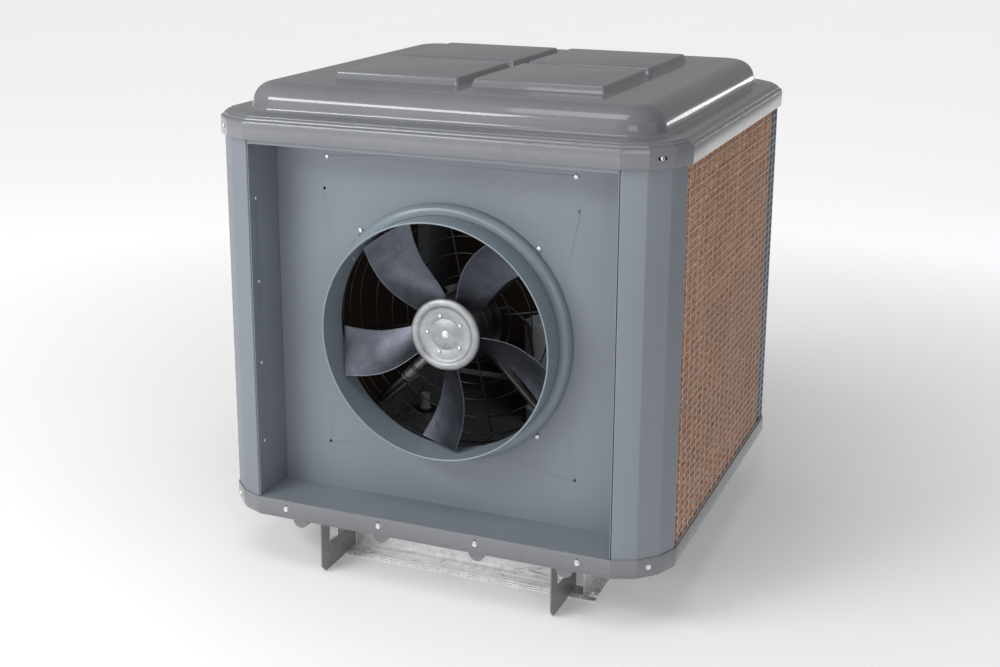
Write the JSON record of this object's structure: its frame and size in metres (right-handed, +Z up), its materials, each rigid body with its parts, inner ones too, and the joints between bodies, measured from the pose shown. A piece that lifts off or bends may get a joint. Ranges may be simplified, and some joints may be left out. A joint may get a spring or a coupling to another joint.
{
  "type": "evaporative cooler",
  "caption": "Square side-discharge evaporative cooler: axial fan in a recessed front, wet pads behind wire mesh on the other sides, water tank below, domed lid above, steel cradle.",
  "frame": {"origin": "on the floor under the middle of the cabinet", "axes": "+Z up, -Y out of the fan outlet, +X to the right when facing the outlet"},
  "size_m": [1.162, 1.162, 1.225],
  "materials": {
    "galvanised": "bright hot-dip galvanised sheet and wire",
    "zinc": "zinc-plated steel",
    "grey_moulding": "glossy mid-grey moulding",
    "grey_paint": "semi-gloss blue-grey paint on sheet steel",
    "black_paint": "gloss black coating",
    "cast_aluminium": "bright cast aluminium",
    "blade_cast": "dark grey satin coating on a cast blade",
    "pad_paper": "resin-treated fluted cellulose",
    "grey_plastic": "mid-grey plastic",
    "white_plastic": "white plastic",
    "black_plastic": "black plastic",
    "cable_rubber": "black rubber sheath",
    "brass": "brass rod"
  },
  "bodies": {
    "cabinet": {"cradle_front_beam": "galvanised", "cradle_rear_beam": "galvanised", "cradle_left_rail": "galvanised", "cradle_right_rail": "galvanised", "bracket_front_left": "galvanised", "bracket_front_right": "galvanised", "bracket_rear_left": "galvanised", "bracket_rear_right": "galvanised", "base_tank": "grey_moulding", "roof_cap": "grey_moulding", "corner_post_front_left": "grey_paint", "corner_post_front_right": "grey_paint", "corner_post_rear_left": "grey_paint", "corner_post_rear_right": "grey_paint", "recess_floor": "grey_paint", "recess_ceiling": "grey_paint", "recess_left_wall": "grey_paint", "recess_right_wall": "grey_paint", "fan_panel": "grey_paint", "outlet_ring": "grey_paint", "outlet_ring_rivets": "zinc", "rim_bolts": "zinc", "cap_screws": "zinc", "recess_wall_screws": "zinc", "fan_panel_screws": "zinc", "cradle_bolts": "zinc", "wet_pad_left": "pad_paper", "wet_pad_rear": "pad_paper", "wet_pad_right": "pad_paper", "pad_tray_left": "galvanised", "pad_tray_rear": "galvanised", "pad_tray_right": "galvanised", "pad_mesh_left": "galvanised", "pad_mesh_rear": "galvanised", "pad_mesh_right": "galvanised", "inlet_guard": "black_paint", "motor_bracket": "zinc", "motor_stator": "black_paint", "control_box": "grey_plastic", "cable_gland": "black_plastic", "motor_cable": "cable_rubber", "pump_body": "grey_plastic", "riser_pipe": "grey_plastic", "water_manifold": "grey_plastic", "float_valve_body": "white_plastic", "drain_body": "black_plastic"},
    "fan": {"motor_rotor": "black_paint", "hub_cover": "cast_aluminium", "hub_screws": "zinc", "hub_centre_cap": "zinc", "fan_blade_1": "blade_cast", "fan_blade_2": "blade_cast", "fan_blade_3": "blade_cast", "fan_blade_4": "blade_cast", "fan_blade_5": "blade_cast"},
    "pump_rotor": {"pump_impeller": "black_plastic"},
    "float": {"float_arm": "brass", "float_ball": "white_plastic"},
    "inlet_piston": {"float_valve_piston": "brass"},
    "overflow_pipe": {"standpipe": "grey_plastic"}
  },
  "joints": [
    {"name": "fan_spin", "type": "hinge", "parent": "cabinet", "child": "fan", "pos_m": [0, -0.445, 0.635], "axis": [0, 1, 0], "continuous": true},
    {"name": "pump_spin", "type": "hinge", "parent": "cabinet", "child": "pump_rotor", "pos_m": [-0.04, 0.33, 0.2], "axis": [0, 0, 1], "continuous": true},
    {"name": "float_swing", "type": "hinge", "parent": "cabinet", "child": "float", "pos_m": [0.41, 0.078, 0.208], "axis": [1, 0, 0], "range_deg": [-12, 3]},
    {"name": "piston_slide", "type": "slide", "parent": "cabinet", "child": "inlet_piston", "axis": [0, 0, 1], "range_m": [-0.0045, 0.0045]},
    {"name": "overflow_lift", "type": "slide", "parent": "cabinet", "child": "overflow_pipe", "axis": [0, 0, 1], "range_m": [0, 0.06]}
  ],
  "couplings": [
    {"joint": "piston_slide", "follows": "float_swing", "m_per_rad": -0.018}
  ]
}
